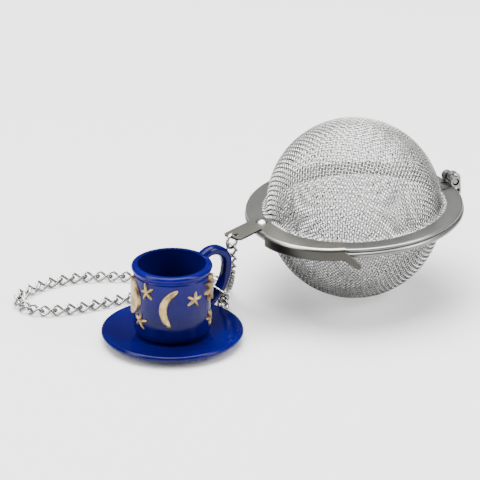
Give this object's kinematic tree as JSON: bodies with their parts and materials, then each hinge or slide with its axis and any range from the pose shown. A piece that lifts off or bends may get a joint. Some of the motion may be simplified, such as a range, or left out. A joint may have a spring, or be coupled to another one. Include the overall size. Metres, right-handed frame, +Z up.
{
  "type": "tea infuser",
  "caption": "Hinged woven-mesh ball that holds loose tea, with a riveted side latch and a chain to a cup-and-saucer charm.",
  "frame": {"origin": "on the table, straight below the centre of the mesh ball", "axes": "+Z up; +X to the side away from the charm; the camera of the reference looks along +Y"},
  "size_m": [0.1284, 0.0842, 0.0518],
  "materials": {
    "woven_mesh": "fine woven stainless wire",
    "rim_steel": "satin stainless sheet",
    "hinge_steel": "polished stainless",
    "latch_steel": "satin on top, polished round the bend",
    "chain_steel": "bright plated wire",
    "blue_resin": "deep blue glossy cast resin",
    "gold_paint": "gold paint on raised resin"
  },
  "bodies": {
    "upper_half": {"upper_mesh": "woven_mesh", "upper_ring": "rim_steel", "hinge_tongue": "hinge_steel", "rivet": "hinge_steel"},
    "lower_half": {"lower_mesh": "woven_mesh", "lower_ring": "rim_steel", "hinge_strap": "hinge_steel", "hinge_pin": "hinge_steel"},
    "latch": {"latch_lever": "latch_steel"},
    "jump_ring": {"jump_ring": "chain_steel"},
    "drop_chain": {"chain_drop": "chain_steel"},
    "far_strand": {"chain_far": "chain_steel"},
    "far_bend": {"chain_far_bend": "chain_steel"},
    "chain_turn": {"chain_turn": "chain_steel"},
    "near_strand": {"chain_near": "chain_steel"},
    "riser": {"chain_riser": "chain_steel"},
    "end_ring": {"end_ring": "chain_steel"},
    "charm": {"charm_saucer": "blue_resin", "charm_cup": "blue_resin", "charm_handle": "blue_resin", "charm_moon": "gold_paint", "charm_stars": "gold_paint", "charm_sun": "gold_paint", "charm_disc": "gold_paint"}
  },
  "joints": [
    {"name": "lid_hinge", "type": "hinge", "parent": "upper_half", "child": "lower_half", "pos_m": [0.0282, 0.01197, 0.02999], "axis": [0.3907, -0.9205, 0], "range_deg": [0, 150]},
    {"name": "latch_pivot", "type": "hinge", "parent": "upper_half", "child": "latch", "pos_m": [-0.02643, -0.01122, 0.02632], "axis": [0.0402, 0.017, -0.999], "range_deg": [0, 35]},
    {"name": "jump_ring_turn", "type": "hinge", "parent": "latch", "child": "jump_ring", "pos_m": [-0.03487, -0.02061, 0.02439], "axis": [0.7431, -0.6691, 0], "range_deg": [-8, 8]},
    {"name": "drop_swing", "type": "hinge", "parent": "jump_ring", "child": "drop_chain", "pos_m": [-0.03487, -0.02061, 0.02291], "axis": [-0.6691, -0.7431, 0], "range_deg": [-5, 5]},
    {"name": "far_strand_swing", "type": "hinge", "parent": "drop_chain", "child": "far_strand", "pos_m": [-0.03658, -0.00114, 0.00149], "axis": [0, 0, 1], "range_deg": [-5, 0]},
    {"name": "far_bend_swing", "type": "hinge", "parent": "far_strand", "child": "far_bend", "pos_m": [-0.07393, 0.00661, 0.00149], "axis": [0, 0, 1], "range_deg": [-10, 0]},
    {"name": "turn_swing", "type": "hinge", "parent": "far_bend", "child": "chain_turn", "pos_m": [-0.09527, -0.00621, 0.00149], "axis": [0, 0, -1], "range_deg": [0, 20]},
    {"name": "near_strand_swing", "type": "hinge", "parent": "chain_turn", "child": "near_strand", "pos_m": [-0.08511, -0.01711, 0.00149], "axis": [0, 0, -1], "range_deg": [0, 20]},
    {"name": "riser_swing", "type": "hinge", "parent": "near_strand", "child": "riser", "pos_m": [-0.04273, -0.00635, 0.00149], "axis": [0, 0, -1], "range_deg": [0, 8]},
    {"name": "end_ring_swing", "type": "hinge", "parent": "riser", "child": "end_ring", "pos_m": [-0.03711, -0.02261, 0.00925], "axis": [0.5878, -0.809, 0], "range_deg": [0, 3]},
    {"name": "charm_swing", "type": "hinge", "parent": "end_ring", "child": "charm", "pos_m": [-0.03841, -0.02355, 0.0106], "axis": [-0.52, -0.3778, -0.766], "range_deg": [-5, 3]}
  ]
}
